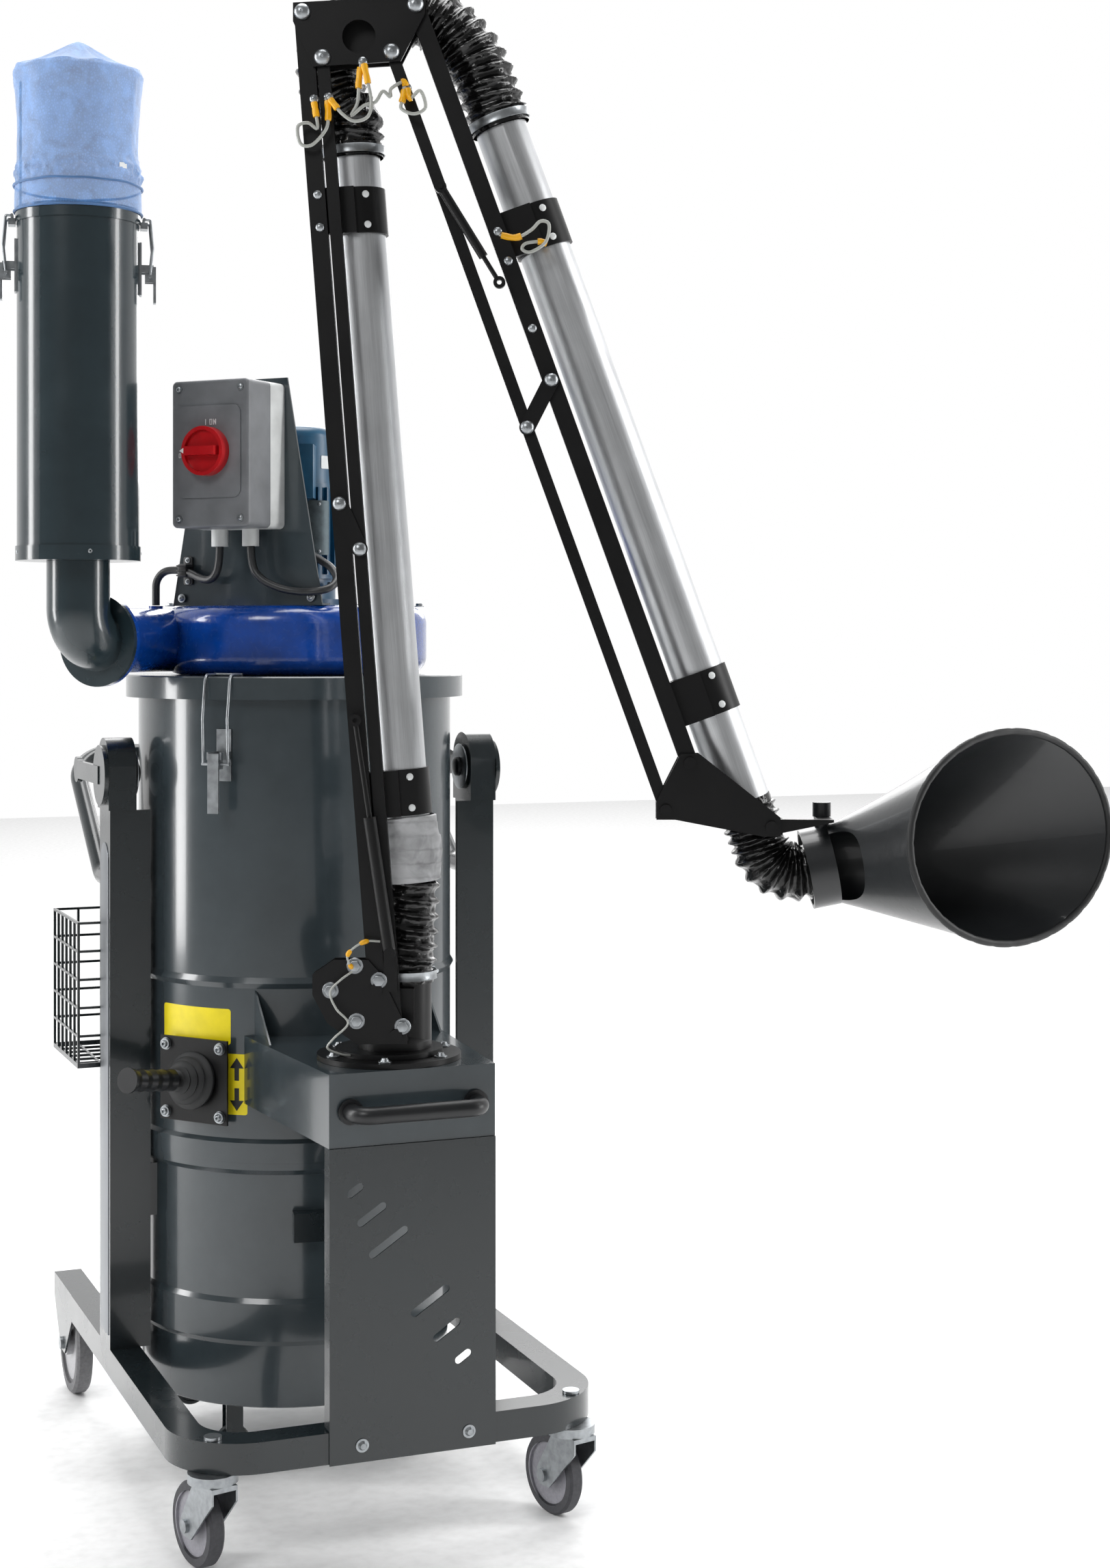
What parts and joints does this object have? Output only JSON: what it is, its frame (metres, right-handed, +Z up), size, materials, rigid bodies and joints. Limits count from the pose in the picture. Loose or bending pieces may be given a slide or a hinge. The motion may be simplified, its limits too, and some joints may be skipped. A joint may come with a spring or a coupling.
{
  "type": "mobile dust collector",
  "caption": "Wheeled drum dust collector with a fan and silencer on its lid, a drop-down bin, and a jointed suction arm with a cone hood.",
  "frame": {"origin": "on the floor, under the axis of the drum", "axes": "+Z up along the drum's axis, -Y towards the front cover and the suction arm's foot, +X to the right as seen from the front"},
  "size_m": [1.5428, 1.4219, 2.3423],
  "materials": {
    "frame_paint": "gloss",
    "drum_paint": "gloss",
    "silencer_paint": "gloss",
    "scroll_blue": "textured gloss",
    "motor_teal": "satin",
    "black_metal": "matte",
    "black_plastic": "matte",
    "zinc": "zinc plated",
    "aluminium": "brushed",
    "hose": "gloss",
    "net": "open weave",
    "boot_rubber": "matte",
    "switch_grey": "matte",
    "switch_light": "matte",
    "knob_red": "gloss",
    "tyre": "matte",
    "filter_cloth": "felt"
  },
  "bodies": {
    "machine": {"base_frame": "frame_paint", "uprights": "frame_paint", "push_handle": "frame_paint", "basket": "black_metal", "chamber": "drum_paint", "lid": "drum_paint", "filter": "filter_cloth", "inlet_box": "frame_paint", "front_handle": "black_metal", "front_cover": "frame_paint", "fan_scroll": "scroll_blue", "motor": "motor_teal", "silencer": "silencer_paint", "outlet_net": "net", "switch_bracket": "frame_paint", "switch_base": "switch_light", "switch_cover": "switch_grey", "cables": "black_plastic", "shaker_plate": "black_metal", "shaker_boot": "boot_rubber", "arm_flange": "black_metal", "zinc_fittings": "zinc"},
    "fan_rotor": {"fan_rotor": "aluminium"},
    "switch_knob": {"switch_knob": "knob_red"},
    "shaker_handle": {"shaker_handle": "black_plastic"},
    "bin": {"bin": "drum_paint", "bin_fittings": "black_plastic"},
    "lift_levers": {"lift_levers": "switch_grey"},
    "lid_latch_lever": {"lid_latch_lever": "zinc"},
    "lid_latch_loop": {"lid_latch_loop": "zinc"},
    "silencer_latch_1_lever": {"silencer_latch_lever_1": "zinc"},
    "silencer_latch_1_loop": {"silencer_latch_loop_1": "zinc"},
    "silencer_latch_2_lever": {"silencer_latch_lever_2": "zinc"},
    "silencer_latch_2_loop": {"silencer_latch_loop_2": "zinc"},
    "caster_fork_left": {"caster_fork_left": "zinc"},
    "caster_fork_right": {"caster_fork_right": "zinc"},
    "caster_wheel_left": {"caster_wheel_left": "tyre"},
    "caster_wheel_right": {"caster_wheel_right": "tyre"},
    "rear_wheel_left": {"rear_wheel_left": "tyre"},
    "rear_wheel_right": {"rear_wheel_right": "tyre"},
    "arm_turret": {"arm_turret": "black_metal"},
    "lower_arm": {"lower_beam": "black_metal", "lower_pipe": "aluminium", "lower_hose": "hose"},
    "lower_tie_bar": {"lower_tie_bar": "black_metal"},
    "lower_mid_link": {"lower_mid_link": "black_metal"},
    "lower_strut_tube": {"lower_strut_tube": "black_metal"},
    "lower_strut_rod": {"lower_strut_rod": "zinc"},
    "elbow": {"elbow_plate": "black_metal", "elbow_hose": "hose"},
    "outer_arm": {"outer_beam": "black_metal", "outer_pipe": "aluminium"},
    "outer_tie_bar": {"outer_tie_bar": "black_metal"},
    "outer_mid_link": {"outer_mid_link": "black_metal"},
    "outer_strut_tube": {"outer_strut_tube": "black_metal"},
    "outer_strut_rod": {"outer_strut_rod": "zinc"},
    "end_link": {"end_link": "black_metal", "hood_hose": "hose"},
    "hood_yoke": {"hood_yoke": "black_metal"},
    "hood": {"hood": "black_metal"}
  },
  "joints": [
    {"name": "fan_spin", "type": "hinge", "parent": "machine", "child": "fan_rotor", "pos_m": [0, 0, 1.5], "axis": [0, 0, 1], "continuous": true},
    {"name": "switch_turn", "type": "hinge", "parent": "machine", "child": "switch_knob", "pos_m": [-0.19413, -0.17236, 1.668], "axis": [0.7478, 0.6639, 0], "range_deg": [0, 90]},
    {"name": "shaker_swing", "type": "hinge", "parent": "machine", "child": "shaker_handle", "pos_m": [-0.21907, -0.17115, 0.649], "axis": [0.6157, -0.788, 0], "range_deg": [0, 32], "deforming": ["shaker_boot"]},
    {"name": "bin_drop", "type": "slide", "parent": "machine", "child": "bin", "axis": [0, 0, -1], "range_m": [0, 0.0195]},
    {"name": "lever_lift", "type": "hinge", "parent": "machine", "child": "lift_levers", "pos_m": [0, -0.0335, 1.138], "axis": [1, 0, 0], "range_deg": [0, 60]},
    {"name": "lid_latch_lever_turn", "type": "hinge", "parent": "machine", "child": "lid_latch_lever", "pos_m": [-0.19551, -0.2249, 1.176], "axis": [-0.7547, 0.6561, 0], "range_deg": [0, 150]},
    {"name": "lid_latch_loop_turn", "type": "hinge", "parent": "lid_latch_lever", "child": "lid_latch_loop", "pos_m": [-0.19551, -0.2249, 1.163], "axis": [-0.7547, 0.6561, 0], "range_deg": [-181, 0]},
    {"name": "silencer_latch_1_lever_turn", "type": "hinge", "parent": "machine", "child": "silencer_latch_1_lever", "pos_m": [-0.51208, -0.13604, 1.956], "axis": [0.1805, 0.9836, 0], "range_deg": [0, 140]},
    {"name": "silencer_latch_1_loop_turn", "type": "hinge", "parent": "silencer_latch_1_lever", "child": "silencer_latch_1_loop", "pos_m": [-0.51208, -0.13604, 1.943], "axis": [0.1805, 0.9836, 0], "range_deg": [-169, 0]},
    {"name": "silencer_latch_2_lever_turn", "type": "hinge", "parent": "machine", "child": "silencer_latch_2_lever", "pos_m": [-0.29176, -0.17647, 1.956], "axis": [-0.1805, -0.9836, 0], "range_deg": [0, 140]},
    {"name": "silencer_latch_2_loop_turn", "type": "hinge", "parent": "silencer_latch_2_lever", "child": "silencer_latch_2_loop", "pos_m": [-0.29176, -0.17647, 1.943], "axis": [-0.1805, -0.9836, 0], "range_deg": [-169, 0]},
    {"name": "caster_swivel_left", "type": "hinge", "parent": "machine", "child": "caster_fork_left", "pos_m": [-0.282, -0.56, 0.14], "axis": [0, 0, 1], "continuous": true},
    {"name": "caster_roll_left", "type": "hinge", "parent": "caster_fork_left", "child": "caster_wheel_left", "pos_m": [-0.29289, -0.51634, 0.0625], "axis": [-0.9703, -0.2419, 0], "continuous": true},
    {"name": "rear_roll_left", "type": "hinge", "parent": "machine", "child": "rear_wheel_left", "pos_m": [-0.31, 0.357, 0.09], "axis": [1, 0, 0], "continuous": true},
    {"name": "caster_swivel_right", "type": "hinge", "parent": "machine", "child": "caster_fork_right", "pos_m": [0.282, -0.56, 0.14], "axis": [0, 0, 1], "continuous": true},
    {"name": "caster_roll_right", "type": "hinge", "parent": "caster_fork_right", "child": "caster_wheel_right", "pos_m": [0.27111, -0.51634, 0.0625], "axis": [-0.9703, -0.2419, 0], "continuous": true},
    {"name": "rear_roll_right", "type": "hinge", "parent": "machine", "child": "rear_wheel_right", "pos_m": [0.31, 0.357, 0.09], "axis": [1, 0, 0], "continuous": true},
    {"name": "arm_swivel", "type": "hinge", "parent": "machine", "child": "arm_turret", "pos_m": [0.01, -0.49, 0.74], "axis": [0, 0, 1], "range_deg": [-120, 35]},
    {"name": "shoulder", "type": "hinge", "parent": "arm_turret", "child": "lower_arm", "pos_m": [-0.02584, -0.54239, 0.8387], "axis": [0.3746, 0.9272, 0], "range_deg": [-2, 40], "deforming": ["lower_hose"]},
    {"name": "lower_tie_turn", "type": "hinge", "parent": "arm_turret", "child": "lower_tie_bar", "pos_m": [0.00198, -0.55363, 0.7707], "axis": [0.3746, 0.9272, 0], "range_deg": [-2.5, 40.5]},
    {"name": "lower_mid_turn", "type": "hinge", "parent": "lower_arm", "child": "lower_mid_link", "pos_m": [-0.07698, -0.52172, 1.56681], "axis": [0.3746, 0.9272, 0], "range_deg": [-40.5, 2.5]},
    {"name": "elbow_level", "type": "hinge", "parent": "lower_arm", "child": "elbow", "pos_m": [-0.12875, -0.50081, 2.3037], "axis": [0.3746, 0.9272, 0], "range_deg": [-40.5, 2.5], "deforming": ["elbow_hose"]},
    {"name": "elbow_turn", "type": "hinge", "parent": "elbow", "child": "outer_arm", "pos_m": [0.0285, -0.56434, 2.315], "axis": [-0.3746, -0.9272, 0], "range_deg": [-8, 60], "deforming": ["elbow_hose"]},
    {"name": "outer_tie_turn", "type": "hinge", "parent": "elbow", "child": "outer_tie_bar", "pos_m": [-0.00488, -0.55086, 2.244], "axis": [-0.3746, -0.9272, 0], "range_deg": [-8.5, 60.5]},
    {"name": "outer_mid_turn", "type": "hinge", "parent": "outer_arm", "child": "outer_mid_link", "pos_m": [0.21713, -0.64055, 1.75219], "axis": [-0.3746, -0.9272, 0], "range_deg": [-60.5, 8.5]},
    {"name": "end_level", "type": "hinge", "parent": "outer_arm", "child": "end_link", "pos_m": [0.40957, -0.71831, 1.178], "axis": [-0.3746, -0.9272, 0], "range_deg": [-60.5, 8.5], "deforming": ["hood_hose"]},
    {"name": "hood_tilt", "type": "hinge", "parent": "end_link", "child": "hood_yoke", "pos_m": [0.52269, -0.76401, 1.082], "axis": [0.3746, 0.9272, 0], "range_deg": [-12, 20], "deforming": ["hood_hose"]},
    {"name": "hood_turn", "type": "hinge", "parent": "hood_yoke", "child": "hood", "pos_m": [0.6238, -0.73799, 1.088], "axis": [0, 0, 1], "range_deg": [-18, 18], "deforming": ["hood_hose"]},
    {"name": "lower_strut_turn", "type": "hinge", "parent": "arm_turret", "child": "lower_strut_tube", "pos_m": [0.01677, -0.49273, 0.8952], "axis": [0.3746, 0.9272, 0], "range_deg": [-3.33, 47.68]},
    {"name": "lower_strut_slide", "type": "slide", "parent": "lower_strut_tube", "child": "lower_strut_rod", "axis": [-0.136, 0.0549, 0.9892], "range_m": [-0.00992, 0.0024]},
    {"name": "outer_strut_turn", "type": "hinge", "parent": "outer_tie_bar", "child": "outer_strut_tube", "pos_m": [0.08737, -0.52126, 2.03804], "axis": [-0.3746, -0.9272, 0], "range_deg": [-1.44, 4.3]},
    {"name": "outer_strut_slide", "type": "slide", "parent": "outer_strut_tube", "child": "outer_strut_rod", "axis": [0.4861, -0.1964, -0.8515], "range_m": [-0.01265, 0.0819]}
  ],
  "couplings": [
    {"joint": "lever_lift", "follows": "bin_drop", "rad_per_m": 53.702},
    {"joint": "lid_latch_loop_turn", "follows": "lid_latch_lever_turn", "ratio": -1.2},
    {"joint": "silencer_latch_1_loop_turn", "follows": "silencer_latch_1_lever_turn", "ratio": -1.2},
    {"joint": "silencer_latch_2_loop_turn", "follows": "silencer_latch_2_lever_turn", "ratio": -1.2},
    {"joint": "lower_tie_turn", "follows": "shoulder", "ratio": 1},
    {"joint": "lower_mid_turn", "follows": "shoulder", "ratio": -1},
    {"joint": "elbow_level", "follows": "shoulder", "ratio": -1},
    {"joint": "outer_tie_turn", "follows": "elbow_turn", "ratio": 1},
    {"joint": "outer_mid_turn", "follows": "elbow_turn", "ratio": -1},
    {"joint": "end_level", "follows": "elbow_turn", "ratio": -1},
    {"joint": "lower_strut_turn", "follows": "shoulder", "ratio": 1.1671},
    {"joint": "lower_strut_slide", "follows": "shoulder", "m_per_rad": -0.011342},
    {"joint": "outer_strut_turn", "follows": "elbow_turn", "ratio": 0.05494},
    {"joint": "outer_strut_slide", "follows": "elbow_turn", "m_per_rad": 0.076301}
  ]
}
